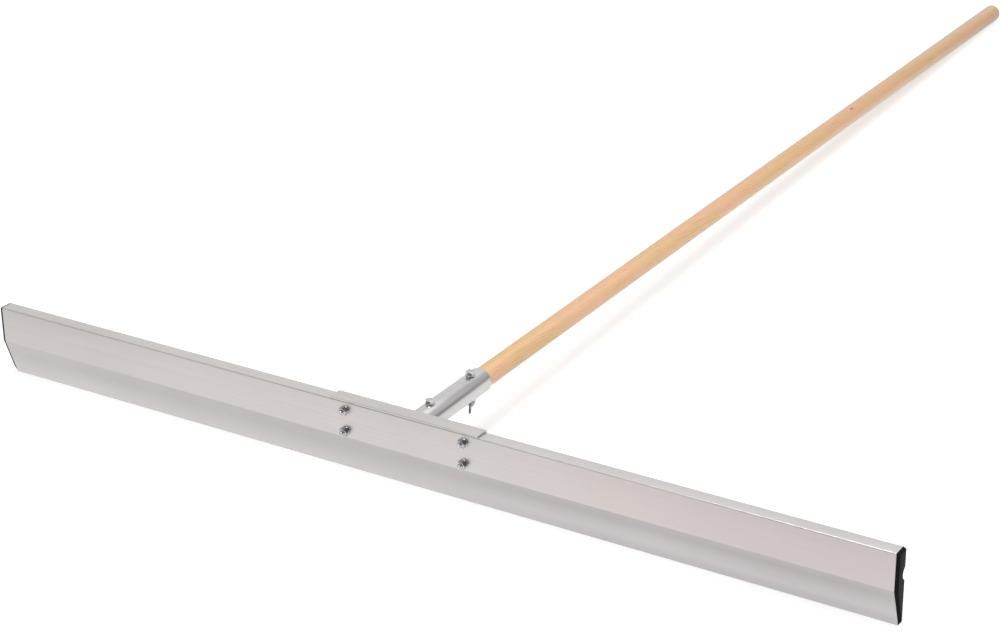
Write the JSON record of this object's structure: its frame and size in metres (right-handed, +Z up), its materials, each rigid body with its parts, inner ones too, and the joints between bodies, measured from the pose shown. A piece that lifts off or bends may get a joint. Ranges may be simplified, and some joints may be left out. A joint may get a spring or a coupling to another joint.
{
  "type": "screed board",
  "caption": "Long hollow aluminium blade with a bevelled foot and capped ends, bolted to a bracket whose socket holds a wooden pole, for levelling wet concrete or sand.",
  "frame": {"origin": "middle of the back edge of the blade's foot, on the ground", "axes": "+X along the blade, +Y from the blade towards the handle's free end, +Z up from the ground that the foot and the handle's end rest on"},
  "size_m": [1.2082, 1.8114, 0.0975],
  "materials": {
    "blade_aluminium": "satin mill finish with fine lines along the extrusion",
    "sheet_aluminium": "satin rolled sheet",
    "tube_aluminium": "smooth drawn tube",
    "weld_metal": "rippled weld bead",
    "zinc_plate": "bright zinc plate",
    "black_plastic": "fine grained moulding",
    "ash_wood": "sanded, thinly oiled"
  },
  "bodies": {
    "board": {"blade": "blade_aluminium", "end_cap_left": "black_plastic", "end_cap_right": "black_plastic", "bracket": "sheet_aluminium", "socket_tube": "tube_aluminium", "socket_weld": "weld_metal", "handle": "ash_wood", "blade_bolt_upper_left": "zinc_plate", "back_washer_upper_left": "zinc_plate", "front_washer_upper_left": "zinc_plate", "blade_nut_upper_left": "zinc_plate", "blade_bolt_upper_right": "zinc_plate", "back_washer_upper_right": "zinc_plate", "front_washer_upper_right": "zinc_plate", "blade_nut_upper_right": "zinc_plate", "blade_bolt_lower_left": "zinc_plate", "back_washer_lower_left": "zinc_plate", "front_washer_lower_left": "zinc_plate", "blade_nut_lower_left": "zinc_plate", "blade_bolt_lower_right": "zinc_plate", "back_washer_lower_right": "zinc_plate", "front_washer_lower_right": "zinc_plate", "blade_nut_lower_right": "zinc_plate", "inner_handle_bolt": "zinc_plate", "inner_head_washer": "zinc_plate", "inner_bolt_washer": "zinc_plate", "inner_bolt_nut": "zinc_plate", "outer_handle_bolt": "zinc_plate", "outer_head_washer": "zinc_plate"},
    "clamp_washer": {"clamp_washer": "zinc_plate"},
    "wing_nut": {"wing_nut": "zinc_plate"}
  },
  "joints": [
    {"name": "wing_nut_travel", "type": "slide", "parent": "board", "child": "clamp_washer", "axis": [0, -0.0334, -0.9994], "range_m": [0, 0.006]},
    {"name": "wing_nut_spin", "type": "hinge", "parent": "clamp_washer", "child": "wing_nut", "pos_m": [-0.0022, 0.12759, 0.05147], "axis": [0, -0.0334, -0.9994], "range_deg": [0, 2160]}
  ],
  "couplings": [
    {"joint": "wing_nut_travel", "follows": "wing_nut_spin", "m_per_rad": 0.00015915}
  ]
}
